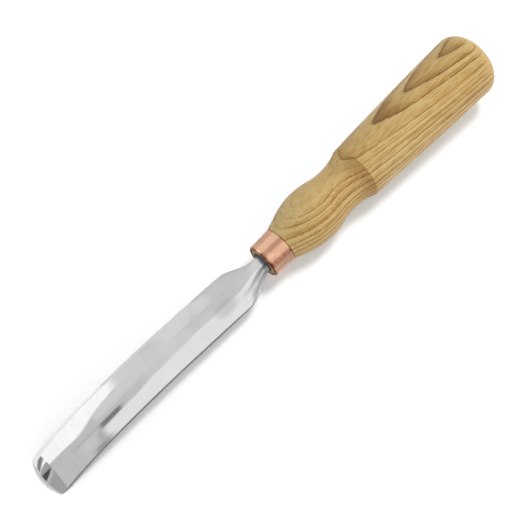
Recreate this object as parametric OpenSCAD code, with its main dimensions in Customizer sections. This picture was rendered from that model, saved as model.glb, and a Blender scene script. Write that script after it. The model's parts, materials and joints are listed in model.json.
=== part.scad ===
// Bent carving gouge: a forged steel blade, a copper ferrule and a turned ash handle.
// The pieces are drawn along the tool's own axis, X towards the butt, with the ferrule's
// front at X = 0. They are then laid down together, back up, on the edge's two corners
// and the underside of the handle.

/* [Blade] */
// Length from the ferrule's front to the middle of the cutting edge
blade_length = 136; // [110:1:165]
// Width across the two flanks
blade_width = 21.9; // [21:0.1:26]
// Width of the cutting edge from corner to corner
edge_width = 20.8; // [15:0.1:22]
// Height of the back's crown above the middle of the flanks
back_height = 5.2; // [4.4:0.1:7]
// Height of the blade's centre line above the middle of the flanks
rim_drop = 3; // [2:0.1:4]
// Height of the upright flank along each side
flank_height = 2.1; // [1:0.1:2.4]
// Thickness of the steel on the centre line, behind the shoulder
root_thickness = 3.1; // [2.6:0.1:4]
// Thickness of the steel on the centre line, behind the bevel
tip_thickness = 2.4; // [1.6:0.1:3]
// Width of the flat land under each flank, at the shoulder
rim_land = 1.9; // [1:0.1:3]
// Length of the ground bevel on the centre line
bevel_length = 6.6; // [5:0.1:9]
// How much shorter the bevel is at the flanks
bevel_lead = 2.4; // [0:0.1:3]
// Thickness left on the cutting edge
edge_thickness = 0.12; // [0.08:0.01:0.3]

/* [Bend] */
// Height of the arch's top above the tool's axis
arch_rise = 4.6; // [1:0.1:8]
// Distance of the arch's top from the ferrule's front
arch_at = 80; // [60:1:95]
// Fall of the centre line from the arch's top to the edge
tip_drop = 6.9; // [4:0.1:10]
// Power of the fall: higher bends the tip more sharply
tip_power = 3; // [2:0.1:4]

/* [Neck and tang] */
// Width of the neck where it enters the handle, and diameter of its round underside
neck_diameter = 9; // [8:0.1:10]
// Height of the neck's flattened top above the tool's axis
neck_crown = 2.4; // [2:0.1:4]
// Length over which the neck spreads to the full width
flare_length = 19; // [14:0.5:30]
// Length over which the neck's top and sides settle to the blade's back
settle_length = 6; // [5:0.5:16]
// Length over which the channel runs out towards the neck
runout_length = 34; // [24:1:50]
// Length of the tang inside the handle, to its point
tang_length = 63; // [40:1:64]
// Side of the square tang at its thick end
tang_side = 6.6; // [5:0.1:7]
// Side of the square tang behind its point
tang_tip_side = 3.4; // [2:0.1:4]
// Length of the tang's four-sided point
tang_point = 4; // [2:0.5:8]

/* [Ferrule] */
// Length of the ferrule
ferrule_length = 12.4; // [10:0.1:16]
// Outer diameter behind the front lip
ferrule_front_diameter = 17.8; // [17.7:0.1:18.4]
// Outer diameter at the wooden shoulder
ferrule_rear_diameter = 18.5; // [18:0.1:19]
// Diameter of the wooden tenon inside the ferrule
tenon_diameter = 15.4; // [14:0.1:15.5]
// Radius of the rounded front lip
lip_radius = 1.1; // [0.5:0.1:1.1]

/* [Handle] */
// Length from the ferrule's front to the butt
handle_length = 150; // [130:1:170]
// Diameter at the crest of the bulb
bulb_diameter = 28.1; // [26:0.1:30]
// Distance of the bulb's crest from the ferrule's front
bulb_at = 33; // [31:0.5:36]
// Diameter at the bottom of the cove
cove_diameter = 23.7; // [22:0.1:24.5]
// Distance of the cove's bottom from the ferrule's front
cove_at = 50.7; // [48:0.1:54]
// Radius of the cove's hollow
cove_radius = 33; // [28:0.5:38]
// Distance of the crease between cove and grip from the ferrule's front
crease_at = 63.3; // [60:0.1:66]
// Diameter at the thick end of the grip
grip_diameter = 34.8; // [32:0.1:38]
// Height of the grip's swell above a straight taper
grip_swell = 0.25; // [0.1:0.05:0.8]
// Radius of the round between grip and butt
butt_round = 6.6; // [3:0.1:9]
// Diameter of the hole for the tang
bore_diameter = 10.8; // [10.2:0.1:11.5]
// Depth of the hole's straight wall below the ferrule's front
bore_depth = 66; // [65:1:90]

/* [Hidden] */
$fn = 128;

neck_radius = neck_diameter / 2;
rim_half = blade_width / 2;
edge_half = edge_width / 2;
crown_height = back_height - rim_drop;
tenon_radius = tenon_diameter / 2;
front_radius = ferrule_front_diameter / 2;
rear_radius = ferrule_rear_diameter / 2;
bulb_radius = bulb_diameter / 2;
cove_floor = cove_diameter / 2;
grip_radius = grip_diameter / 2;
bore_radius = bore_diameter / 2;

// The wooden end face lies a little inside the ferrule, with a small chamfer
face_at = 0.2;
tenon_chamfer = 0.4;
rear_break = 0.25;

// The neck goes this far into the hole, then becomes square over the next stretch
neck_inside = 5;
squaring = 7;
tang_at = neck_inside + squaring;
glue_at = 2.6;
glue_gap = 0.05;
drill_point_angle = 118;
drill_tip = bore_radius / tan(drill_point_angle / 2);

// Points across each half section, and spacing of sections along the blade
across = 20;
shoulder_step = 1.25;
blade_step = 4;
bevel_steps = 3;
// Angles down the round neck's side that the flank and the land grow out of
flank_angle = 5;
land_angle = 10;
// Shares of the land lost to the blade's taper and to the bevel
land_taper = 0.75;
land_grind = 0.8;

function mix(a, b, part) = a + (b - a) * part;
function clamp(q) = min(max(q, 0), 1);
function smooth(q) = let (c = clamp(q)) c * c * (3 - 2 * c);
function smooth_slope(q) = let (c = clamp(q)) 6 * c * (1 - c);

// Centre line of the blade: it rises to the arch's top and falls ever faster to the edge.
// t is the distance from the ferrule's front towards the edge.
function fall(t) = max(0, (t - arch_at) / (blade_length - arch_at));
function spine_height(t) = arch_rise * smooth(t / arch_at) - tip_drop * pow(fall(t), tip_power);
function spine_slope(t) =
    arch_rise * smooth_slope(t / arch_at) / arch_at
    - tip_drop * tip_power * pow(fall(t), tip_power - 1) / (blade_length - arch_at);
function spine_angle(t) = atan(spine_slope(t));

// Sizes of the section at t, measured from the centre line. ground is the way through
// the bevel: 0 on the forged blade and 1 on the cutting edge.
function half_width(t, ground) =
    mix(mix(neck_radius, rim_half, smooth(t / flare_length)), edge_half, ground);
function rim_level(t, ground) =
    flank_height / 2 * spread(t) * (1 - ground) - rim_drop * smooth(t / (settle_length / 2));
function flank(t, ground) =
    mix(mix(neck_radius * sin(flank_angle), flank_height, spread(t)), edge_thickness, ground);
function flank_lean(t) = neck_radius * (1 - cos(flank_angle)) * (1 - spread(t));
function steel_thickness(t) = mix(root_thickness, tip_thickness, t / blade_length);
function forged_crown(t) = mix(neck_crown, crown_height, smooth(t / settle_length));
function spread(t) = smooth(t / runout_length);
function channel_level(t) = mix(-neck_radius, forged_crown(t) - steel_thickness(t), spread(t));
function crown_level(t, ground) = mix(forged_crown(t), channel_level(t) + edge_thickness, ground);
function land_width(t, ground) =
    mix(neck_radius * (1 - cos(land_angle)), rim_land * (1 - land_taper * t / blade_length), spread(t))
    * (1 - land_grind * ground);
function land_drop(t) = neck_radius * (sin(land_angle) - sin(flank_angle)) * (1 - spread(t));

// Points along an arc over a chord from -half to half, standing height above level at its middle.
// A negative height hangs the arc below the chord.
function arch_points(half, level, height) =
    let (
        flat = abs(height) < 0.01,
        radius = flat ? 0 : (half * half + height * height) / (2 * abs(height)),
        reach = flat ? 0 : atan2(half, radius - abs(height)),
        way = sign(height)
    )
    [for (i = [0 : across]) let (part = 2 * i / across - 1)
        flat
        ? [half * part, level]
        : [radius * sin(reach * part), level + way * (radius * (cos(reach * part) - 1) + abs(height))]];

// One closed section: the back from flank to flank, then the channel side the other way
function section(t, ground) =
    let (
        half = half_width(t, ground),
        rim = rim_level(t, ground),
        foot = [half - flank_lean(t), rim - flank(t, ground)],
        inner = half - land_width(t, ground),
        inner_level = foot[1] - land_drop(t),
        under = arch_points(inner, inner_level, channel_level(t) - inner_level)
    )
    concat(
        arch_points(half, rim, crown_level(t, ground) - rim),
        [foot],
        [for (i = [across : -1 : 0]) under[i]],
        [[-foot[0], foot[1]]]
    );

// A section's point stood across the centre line at t
function stood(t, p) = let (lean = spine_angle(t))
    [-t + p[1] * sin(lean), p[0], spine_height(t) + p[1] * cos(lean)];
function forged_ring(t) = [for (p = section(t, 0)) stood(t, p)];

// A ring on the bevel. Its start curves forward at the flanks, which are thinner than the crown.
heel_at = blade_length - bevel_length;
last_point = 2 * across + 3;
function sideways(i) = 2 * clamp(min(i, last_point - 1 - i) / across) - 1;
function bevel_ring(ground) = [
    for (i = [0 : last_point])
        let (t = mix(heel_at + bevel_lead * pow(sideways(i), 2), blade_length, ground))
        stood(t, section(t, ground)[i])
];

// A ring on the tang, which turns from the neck's section to square inside the handle
point_at = tang_length - tang_point;
function tang_half(depth) = mix(tang_side, tang_tip_side, clamp((depth - tang_at) / (point_at - tang_at))) / 2;
function tang_ring(depth) = let (part = smooth((depth - neck_inside) / squaring)) [
    for (p = section(0, 0)) let (square = tang_half(depth) / max(abs(p[0]), abs(p[1])))
        [depth, p[0] * mix(1, square, part), p[1] * mix(1, square, part)]
];

squaring_steps = 5;
blade_stops = ceil((heel_at - runout_length) / blade_step);
tang_tip = [tang_length, 0, 0];
rings = concat(
    [tang_ring(point_at)],
    [for (i = [squaring_steps : -1 : 0]) tang_ring(neck_inside + squaring * i / squaring_steps)],
    [for (t = [0 : shoulder_step : runout_length - shoulder_step / 2]) forged_ring(t)],
    [for (i = [0 : blade_stops - 1]) forged_ring(mix(runout_length, heel_at, i / blade_stops))],
    [for (i = [0 : bevel_steps]) bevel_ring(i / bevel_steps)]
);

// Skin over the rings: a fan from the tip to the first ring, two triangles to each patch
// between rings, and a strip of triangles over the last ring
module loft(tip, rings) {
    count = len(rings[0]);
    start = count * (len(rings) - 1);
    point = [for (i = [0 : count - 1]) [count + start, i, (i + 1) % count]];
    sides = [for (r = [0 : count : start - count], i = [0 : count - 1]) let (
        a = r + i,
        b = r + (i + 1) % count
    ) each [[a, b + count, b], [a, a + count, b + count]]];
    end = [for (i = [0 : count / 2 - 2]) let (a = start + i, b = start + count - 1 - i) each [
        [a, b, b - 1],
        [a, b - 1, a + 1]
    ]];
    polyhedron(points = concat([for (ring = rings) each ring], [tip]), faces = concat(point, sides, end));
}

// Outline of the handle as [distance from the ferrule's front, radius]
function arc(centre, radius, from, to, steps) = [
    for (i = [0 : steps]) let (a = mix(from, to, i / steps)) centre + radius * [cos(a), sin(a)]
];
arc_steps = 14;

// The bulb is the arc that runs smoothly into the cove
crest_drop = bulb_radius - cove_floor;
crest_way = cove_at - bulb_at;
bulb_curve = (crest_way * crest_way + crest_drop * crest_drop) / (2 * crest_drop) - cove_radius;
bulb_centre = [bulb_at, bulb_radius - bulb_curve];
cove_centre = [cove_at, cove_floor + cove_radius];
join_angle = atan2(cove_centre[1] - bulb_centre[1], crest_way);

// A straight taper touches the bulb, from the wooden shoulder behind the ferrule
to_shoulder = [ferrule_length, rear_radius] - bulb_centre;
taper_angle = atan2(to_shoulder[1], to_shoulder[0]) - acos(min(1, bulb_curve / norm(to_shoulder)));
crease_angle = 270 + asin((crease_at - cove_at) / cove_radius);
crease_radius = cove_centre[1] + cove_radius * sin(crease_angle);

grip_end = handle_length - butt_round;
function grip_outline(s) = let (part = (s - crease_at) / (grip_end - crease_at))
    mix(crease_radius, grip_radius, part) + 4 * grip_swell * part * (1 - part);

handle_outline = concat(
    [
        [face_at, 0],
        [face_at, tenon_radius - tenon_chamfer],
        [face_at + tenon_chamfer, tenon_radius],
        [ferrule_length, tenon_radius],
        [ferrule_length, rear_radius]
    ],
    arc(bulb_centre, bulb_curve, taper_angle, join_angle, arc_steps),
    arc(cove_centre, cove_radius, join_angle + 180, crease_angle, arc_steps),
    [for (i = [1 : arc_steps - 1]) let (s = mix(crease_at, grip_end, i / arc_steps)) [s, grip_outline(s)]],
    arc([grip_end, grip_radius - butt_round], butt_round, 90, 0, arc_steps),
    [[handle_length, 0]]
);

// Turns an outline about the tool's axis
module turned(outline) {
    rotate([0, 90, 0])
        rotate_extrude()
            polygon([for (p = outline) [p[1], p[0]]]);
}

// Lie of the tool: a line from the edge's corners just touches the underside of the handle
edge_ring = rings[len(rings) - 1];
corner = edge_ring[last_point];
rest_angle = max([for (p = handle_outline) atan((p[1] + corner[2]) / (p[0] - corner[0]))]);
rest_height = -corner[0] * sin(rest_angle) - corner[2] * cos(rest_angle);
front_end = min([for (p = edge_ring) p[0] * cos(rest_angle) - p[2] * sin(rest_angle)]);
back_end = (handle_length - butt_round) * cos(rest_angle) + (grip_radius - butt_round) * sin(rest_angle) + butt_round;

module laid_down() {
    translate([-(front_end + back_end) / 2, 0, rest_height])
        rotate([0, -rest_angle, 0])
            children();
}

// Forged blade: cutting edge, bevel, channel, shoulders, neck and square tang in one piece
module blade() {
    color("silver")
        laid_down()
            loft(tang_tip, rings);
}

// Copper ring with a rounded front lip, driven over the wooden tenon
module ferrule() {
    color("peru")
        laid_down()
            turned(concat(
                [[0, tenon_radius]],
                arc([lip_radius, front_radius - lip_radius], lip_radius, 180, 90, 8),
                [
                    [ferrule_length - rear_break, rear_radius],
                    [ferrule_length, rear_radius - rear_break],
                    [ferrule_length, tenon_radius]
                ]
            ));
}

// Drilled hole for the tang, from its mouth to the drill's point
module tang_hole(from) {
    translate([from, 0, 0])
        rotate([0, 90, 0])
            cylinder(r = bore_radius, h = bore_depth - from);
    translate([bore_depth, 0, 0])
        rotate([0, 90, 0])
            cylinder(r1 = bore_radius, r2 = 0, h = drill_tip);
}

// Turned handle: tenon, bulb, cove, grip and flat butt, with the tang's hole
module handle() {
    color("burlywood")
        laid_down()
            difference() {
                turned(handle_outline);
                tang_hole(0);
            }
}

// Room that the neck and the tapered tang take up in the glue
module tang_room() {
    intersection() {
        rotate([0, 90, 0])
            cylinder(r = max(neck_radius, tang_side / sqrt(2)) + glue_gap, h = tang_at);
        translate([-bore_radius, -bore_radius, -bore_radius])
            cube([
                tang_at + 2 * bore_radius,
                2 * bore_radius,
                bore_radius + max(neck_crown, tang_side / 2) + glue_gap
            ]);
    }
    loft(tang_tip, [
        for (depth = [point_at, tang_at])
            let (half = tang_half(depth))
            [[depth, -half, half], [depth, half, half], [depth, half, -half], [depth, -half, -half]]
    ]);
}

// Cured glue that beds the tang in its hole
module tang_glue() {
    color("dimgray")
        laid_down()
            difference() {
                tang_hole(glue_at);
                tang_room();
            }
}

blade();
ferrule();
handle();
tang_glue();
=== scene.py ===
"""Looks of a bent carving gouge: forged blade, copper ferrule, turned ash handle and glue.

Lengths in the classes are millimetres in the tool's own frame. X runs from the ferrule's
front to the butt, Y to the tool's left and Z up from the blade's back. Every piece is
modelled there and laid down by one matrix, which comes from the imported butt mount.
"""

import json
import logging
import math
from collections.abc import Callable, Sequence
from dataclasses import dataclass
from enum import Enum, IntEnum
from functools import partial

import bpy
import numpy as np
from mathutils import Matrix, Vector


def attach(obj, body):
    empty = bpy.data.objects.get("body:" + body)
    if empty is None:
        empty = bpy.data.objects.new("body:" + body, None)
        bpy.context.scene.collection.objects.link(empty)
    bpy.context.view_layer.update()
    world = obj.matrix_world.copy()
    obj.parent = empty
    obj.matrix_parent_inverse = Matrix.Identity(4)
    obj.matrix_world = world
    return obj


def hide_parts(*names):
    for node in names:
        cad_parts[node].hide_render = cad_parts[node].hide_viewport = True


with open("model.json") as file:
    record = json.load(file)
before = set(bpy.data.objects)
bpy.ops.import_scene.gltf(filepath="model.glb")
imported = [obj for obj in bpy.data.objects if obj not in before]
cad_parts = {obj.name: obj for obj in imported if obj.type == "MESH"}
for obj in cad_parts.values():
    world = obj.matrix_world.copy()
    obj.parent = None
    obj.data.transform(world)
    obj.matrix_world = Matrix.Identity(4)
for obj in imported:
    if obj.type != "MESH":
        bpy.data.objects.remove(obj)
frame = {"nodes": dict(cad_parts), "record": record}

LOG = logging.getLogger("bent_gouge")
MM = 0.001
WHITE = "#FFFFFF"
# most of a noise lies between these levels, about this one
NOISE = (0.3, 0.7)
NOISE_MIDDLE = 0.5
EASED = {"interpolation_type": "SMOOTHSTEP"}

Adder = Callable[..., bpy.types.Node]
Pair = tuple[float, float]
Triple = tuple[float, float, float]
# a change over a surface: where it starts and ends, and its levels there
Ramp = tuple[float, float, float, float]


class Node(str, Enum):
    """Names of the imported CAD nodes."""

    BLADE = "blade"
    FERRULE = "ferrule"
    HANDLE = "handle"
    GLUE = "tang_glue"


class Slot(str, Enum):
    """Names of the record's material slots."""

    STEEL = "steel"
    COPPER = "copper"
    ASH = "ash"
    GLUE = "glue"


class Skin(IntEnum):
    """Faces of the blade, in the order of its finishes."""

    BACK = 0
    FLANK = 1
    CHANNEL = 2


def linear(code: str) -> tuple[float, float, float, float]:
    """Turn an sRGB hex colour to linear light.

    Args:
        code: Six hex digits after a hash sign.

    Returns:
        Linear red, green, blue and an alpha of 1.
    """
    parts = [int(code[i : i + 2], 16) / 255 for i in (1, 3, 5)]
    light = [p / 12.92 if p <= 0.04045 else ((p + 0.055) / 1.055) ** 2.4 for p in parts]
    return (*light, 1.0)


def add_node(
    tree: bpy.types.NodeTree, kind: str, *values: object, **named: object
) -> bpy.types.Node:
    """Add one node with its settings and links.

    Args:
        tree: Node tree that takes the node.
        kind: Blender's type name of the node, without its ShaderNode.
        values: What the live inputs get, in their order: a number, a colour, an output, or a
            node for its first live output.
        named: The same for inputs by their name, with a capital letter and _ for a space, and
            the node's own settings, in small letters.

    Returns:
        The new node.
    """
    made = tree.nodes.new(f"ShaderNode{kind}")
    for name, value in named.items():
        if name.islower():
            setattr(made, name, value)
    given = list(zip([socket for socket in made.inputs if socket.enabled], values))
    given += [(made.inputs[n.replace("_", " ")], v) for n, v in named.items() if not n.islower()]
    for socket, value in given:
        if isinstance(value, bpy.types.Node):
            value = next(out for out in value.outputs if out.enabled)
        if isinstance(value, bpy.types.NodeSocket):
            tree.links.new(value, socket)
        else:
            socket.default_value = value
    return made


def set_stops(ramp: bpy.types.ColorRamp, stops: Sequence[tuple[float, str]]) -> None:
    """Write a colour ramp's stops.

    Args:
        ramp: Ramp to fill.
        stops: Place from 0 to 1 and sRGB hex colour of each stop, in order.
    """
    while len(ramp.elements) < len(stops):
        ramp.elements.new(1.0)
    for element, (place, code) in zip(ramp.elements, stops):
        element.position = place
        element.color = linear(code)


def set_curve(node: bpy.types.Node, points: Sequence[Pair]) -> None:
    """Write the points of a float curve node.

    Args:
        node: Float curve node.
        points: Input and output of each point, from 0 to 1, in order.
    """
    curve = node.mapping.curves[0]
    while len(curve.points) < len(points):
        curve.points.new(0.5, 0.5)
    for point, place in zip(curve.points, points):
        point.location = place
        point.handle_type = "AUTO_CLAMPED"
    node.mapping.update()


def new_material(name: str) -> tuple[bpy.types.Material, Adder]:
    """Make an empty node material.

    Args:
        name: Name of the finish.

    Returns:
        Material with no nodes, and the function that adds one to it.
    """
    made = bpy.data.materials.new(name)
    made.use_nodes = True
    made.node_tree.nodes.clear()
    return made, partial(add_node, made.node_tree)


def new_object(name: str, data: bpy.types.ID) -> bpy.types.Object:
    """Put an object into the scene.

    Args:
        name: Name of the object.
        data: Its mesh, lamp or camera.

    Returns:
        The new object.
    """
    made = bpy.data.objects.new(name, data)
    bpy.context.scene.collection.objects.link(made)
    return made


def tool_place(add: Adder, lay: Matrix) -> bpy.types.Node:
    """Find the point of the surface in the tool's own frame.

    Args:
        add: Function that adds a node to the material.
        lay: Matrix that lays the tool down.

    Returns:
        Node that gives the point in millimetres.
    """
    coord = add("TexCoord").outputs["Object"]
    stood = add(
        "Mapping", Vector=coord, Location=lay.translation, Rotation=lay.to_euler(),
        vector_type="TEXTURE",
    )
    return add("VectorMath", stood, (1 / MM, 1 / MM, 1 / MM), operation="MULTIPLY")


def streaks(add: Adder, place: bpy.types.Node, size: Pair, detail: float) -> bpy.types.Node:
    """Draw irregular streaks along the tool, or across it where they are short.

    Args:
        add: Function that adds a node to the material.
        place: Point in millimetres.
        size: Length along the tool and width of a streak, in millimetres.
        detail: Steps of finer noise in a streak.

    Returns:
        Node that gives the streaks' level.
    """
    long, wide = size
    drawn = add("VectorMath", place, (1 / long, 1 / wide, 1 / wide), operation="MULTIPLY")
    return add("TexNoise", Vector=drawn, Scale=1.0, Detail=detail)


def mix(a: np.ndarray | float, b: np.ndarray | float, part: np.ndarray | float) -> np.ndarray:
    """Go from a to b by part."""
    return a + (b - a) * part


def smooth(q: np.ndarray | float) -> np.ndarray:
    """Ease from 0 to 1 with level ends."""
    c = np.clip(q, 0, 1)
    return c * c * (3 - 2 * c)


def arc(centre: Pair, radius: float, start: float, end: float, steps: int) -> list[Pair]:
    """Draw points along an arc of an outline.

    Args:
        centre: Distance along the axis and radius of the arc's centre.
        radius: Radius of the arc.
        start: First angle in degrees.
        end: Last angle in degrees.
        steps: Number of steps.

    Returns:
        Points as (distance, radius).
    """
    angles = np.radians(np.linspace(start, end, steps + 1))
    return [(centre[0] + radius * math.cos(a), centre[1] + radius * math.sin(a)) for a in angles]


@dataclass(frozen=True)
class Lie:
    """How the tool lies on the floor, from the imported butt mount."""

    handle_length: float = 150.0

    def matrix(self) -> Matrix:
        """Work out the matrix that lays the tool down.

        Returns:
            Matrix from the tool's frame, in metres, to the row frame.
        """
        butt = next(m for m in frame["record"]["mounts"] if m["name"] == "butt_face")
        ahead = Vector(butt["axis"]).normalized()
        left = Vector((0, 1, 0))
        up = ahead.cross(left)
        turn = Matrix((ahead, left, up)).transposed().to_4x4()
        start = Vector(butt["pos_m"]) - ahead * self.handle_length * MM
        return Matrix.Translation(start) @ turn


@dataclass(frozen=True)
class Workshop:
    """Puts meshes drawn in the tool's frame into the scene."""

    lay: Matrix
    # a point with a smaller radius lies on the axis
    on_axis: float = 1e-6

    def piece(
        self, name: str, points: np.ndarray, faces: Sequence[Sequence[int]], crease: float
    ) -> bpy.types.Object:
        """Make a piece that rides on the tool's one body.

        Args:
            name: Name of the piece.
            points: Corners in millimetres in the tool's frame.
            faces: Corner numbers of each face.
            crease: Angle in degrees above which an edge stays sharp.

        Returns:
            The new object.
        """
        mesh = bpy.data.meshes.new(name)
        mesh.from_pydata((np.asarray(points) * MM).tolist(), [], faces, shade_flat=False)
        mesh.validate()
        mesh.transform(self.lay)
        mesh.set_sharp_from_angle(angle=math.radians(crease))
        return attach(new_object(name, mesh), "root")

    def turned(
        self, name: str, outline: Sequence[Pair], around: int, crease: float,
        wear: Callable[[float, float, float], float] | None = None,
    ) -> bpy.types.Object:
        """Turn a closed outline about the tool's axis.

        Args:
            name: Name of the piece.
            outline: Points as (distance, radius), counter-clockwise in that plane when the
                surface looks outwards. A radius of 0 closes on the axis.
            around: Number of steps round the axis.
            crease: Angle in degrees above which an edge stays sharp.
            wear: Radius to add, from the distance, radius and angle of a point.

        Returns:
            The new object.
        """
        angles = np.linspace(0, 2 * math.pi, around, endpoint=False)
        points, rows = [], []
        for s, r in outline:
            first = len(points)
            if r < self.on_axis:
                points.append((s, 0, 0))
                rows.append([first] * around)
                continue
            for a in angles:
                off = wear(s, r, (a + math.pi) % (2 * math.pi) - math.pi) if wear else 0
                points.append((s, -(r + off) * math.sin(a), (r + off) * math.cos(a)))
            rows.append(list(range(first, first + around)))
        pairs = list(zip(rows, rows[1:]))
        if outline[0][1] >= self.on_axis:
            pairs.append((rows[-1], rows[0]))
        faces = []
        for low, high in pairs:
            for i in range(around):
                j = (i + 1) % around
                corners = [low[i], high[i], high[j], low[j]]
                faces.append([c for k, c in enumerate(corners) if c != corners[k - 1]])
        return self.piece(name, np.array(points), faces, crease)


@dataclass(frozen=True)
class ForgedToolSteel:
    """Forged carbon tool steel, belt-ground and buffed bright.

    The buffed skin mirrors the studio in broad, slightly soft panels. Near the edge the belt
    has left fine lines across the blade, and here and there is a pit. The hammer's dark scale on
    the shoulder is drawn with painted dark reflections of its swirls and painted shade along the
    neck's left edge, and a slate glue film by the ferrule is also painted shade.
    """

    name: str = "forged_tool_steel"
    colour: str = "#E6E6E6"
    dull_colour: str = "#E0E0E0"
    roughness: float = 0.045
    # patches of the buff: size, and the least and most roughness they add
    smear: float = 9.0
    smear_gloss: Pair = (-0.015, 0.02)
    # pits: size, levels of the noise between which one shows, colour
    pit: float = 1.6
    pit_shows: Pair = (0.75, 0.83)
    pit_colour: str = "#8E8F92"
    # a patch beside the middle that the buff has left hazy: centre, reach, fade as a share of
    # the reach, colour, roughness to add
    haze_at: Triple = (-27.5, -5.1, 3.5)
    haze_reach: Triple = (9.5, 4.4, 6.0)
    haze_fade: Ramp = (0.3, 1.0, 1.0, 0.0)
    haze_colour: str = "#CDCDCD"
    haze: float = 0.13
    # glue that was wiped forward along the neck leaves a dull slate film, which by the ferrule is
    # also painted shade: fade along the neck, raggedness and slant of its end, colour, roughness to
    # add
    film_and_shade_fade: Ramp = (-1.5, -0.1, 0.0, 1.0)
    film_and_shade_rag: float = 1.2
    film_and_shade_slant: float = -0.18
    film_and_shade_colour: str = "#A6A9AC"
    film_and_shade: float = 0.3
    # the blade's half from the neck to the end of the flare
    flare: Ramp = (0.0, -19.0, 4.5, 10.95)
    # streaks of scale on the shoulder's hammered right side, also painted dark reflections of its
    # swirls, which fan out as it widens: length, width and start as shares of the half, levels of
    # the noise that show, fade along the blade
    scale_length: float = 11.0
    scale_width: float = 0.17
    scale_side: Ramp = (-0.42, -0.62, 0.0, 0.6)
    scale_shows: Pair = (0.42, 0.64)
    scale_fade: Ramp = (-1.0, -20.0, 1.0, 0.0)
    scale_and_reflection_colour: str = "#5E5F61"
    # a dark streak along the fold where the shoulder was drawn down, a painted dark reflection:
    # place as a share of the half, sway and fade
    fold_at: float = -0.57
    fold_sway: float = 1.2
    fold_fade: Ramp = (0.3, 1.2, 0.88, 0.0)
    # painted shade along the neck's left edge, by shares of the half
    left_edge_painted_shade: Ramp = (0.62, 0.9, 0.0, 0.5)
    # belt lines of about 0.1 mm are drawn coarser, so that they show in the render: width and
    # length, force along the blade, depth, levels that look dark, colour
    belt: Pair = (0.5, 6.0)
    belt_force: Ramp = (-98.0, -112.0, 0.06, 1.0)
    belt_depth: float = 0.009
    belt_dark: Ramp = (0.46, 0.75, 0.0, 0.22)
    belt_colour: str = "#BDBEBF"

    def scale_and_painted_reflections(self, add: Adder, place: bpy.types.Node) -> bpy.types.Node:
        """Draw the hammer's scale on the shoulder, with painted dark reflections and painted shade.

        Args:
            add: Function that adds a node to the material.
            place: Point in millimetres in the tool's frame.

        Returns:
            Node that gives the share of scale, painted dark reflection and painted shade.
        """
        where = add("SeparateXYZ", place).outputs
        half = add("MapRange", where["X"], *self.flare, **EASED)
        part = add("Math", where["Y"], half, operation="DIVIDE")
        fanned = add("CombineXYZ", where["X"], part)
        fan = (1 / self.scale_length, 1 / self.scale_width, 0.0)
        fanned = add("VectorMath", fanned, fan, operation="MULTIPLY")
        swirl = add("TexNoise", Vector=fanned, Scale=1.0, Detail=1.5, Distortion=0.5)
        side = add("MapRange", part, *self.scale_side, **EASED)
        marks = add("MapRange", swirl, *self.scale_shows, 0.0, side, **EASED)
        fold = add("Math", half, -self.fold_at, where["Y"], operation="MULTIPLY_ADD")
        fold = add("Math", swirl, self.fold_sway, fold, operation="MULTIPLY_ADD")
        fold = add("Math", fold, self.fold_sway / 2, operation="SUBTRACT")
        fold = add("Math", fold, operation="ABSOLUTE")
        fold = add("MapRange", fold, *self.fold_fade, **EASED)
        left_edge_painted_shade = add("MapRange", part, *self.left_edge_painted_shade, **EASED)
        for other in (fold, left_edge_painted_shade):
            marks = add("Math", marks, other, operation="MAXIMUM")
        near = add("MapRange", where["X"], *self.scale_fade)
        return add("Math", marks, near, operation="MULTIPLY")

    def material(self, lay: Matrix) -> bpy.types.Material:
        """Build the finish.

        Args:
            lay: Matrix that lays the tool down.

        Returns:
            The material.
        """
        made, add = new_material(self.name)
        place = tool_place(add, lay)
        smear = add("TexNoise", Vector=place, Scale=1 / self.smear, Detail=4.0)
        skin = add("MapRange", smear, *NOISE, 0.0, 1.0)
        pits = add("TexNoise", Vector=place, Scale=1 / self.pit, Detail=2.0)
        pitted = add("MapRange", pits, *self.pit_shows, 0.0, 1.0, **EASED)
        away = add("VectorMath", place, self.haze_at, operation="SUBTRACT")
        reach = tuple(1 / r for r in self.haze_reach)
        away = add("VectorMath", away, reach, operation="MULTIPLY")
        away = add("VectorMath", away, operation="LENGTH")
        hazed = add("MapRange", away, *self.haze_fade, **EASED)
        wiped = add("VectorMath", place, (1.0, self.film_and_shade_slant, 0.0), operation="DOT_PRODUCT")
        wiped = add("Math", pits, self.film_and_shade_rag, wiped, operation="MULTIPLY_ADD")
        film_and_shade = add("MapRange", wiped, *self.film_and_shade_fade, **EASED)
        along = add("SeparateXYZ", place).outputs["X"]
        ground = add("MapRange", along, *self.belt_force, **EASED)
        lines = streaks(add, place, self.belt, detail=3.0)
        lines = add("Math", lines, ground, operation="MULTIPLY")
        tone = add("Mix", skin, linear(self.colour), linear(self.dull_colour), data_type="RGBA")
        for share, colour in (
            (pitted, self.pit_colour),
            (hazed, self.haze_colour),
            # slate glue film, also painted shade by the ferrule
            (film_and_shade, self.film_and_shade_colour),
            # scale with painted dark reflections on the shoulder, and painted shade along the
            # neck's left edge
            (self.scale_and_painted_reflections(add, place), self.scale_and_reflection_colour),
            (add("MapRange", lines, *self.belt_dark), self.belt_colour),
        ):
            tone = add("Mix", share, tone, linear(colour), data_type="RGBA")
        gloss = add("MapRange", smear, *NOISE, *(self.roughness + g for g in self.smear_gloss))
        for share, rough in ((hazed, self.haze), (film_and_shade, self.film_and_shade)):
            gloss = add("Math", share, rough, gloss, operation="MULTIPLY_ADD")
        bump = add("Bump", Strength=1.0, Distance=self.belt_depth * MM, Height=lines)
        shader = add("BsdfPrincipled", Base_Color=tone, Metallic=1.0, Roughness=gloss, Normal=bump)
        add("OutputMaterial", shader)
        return made


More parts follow.
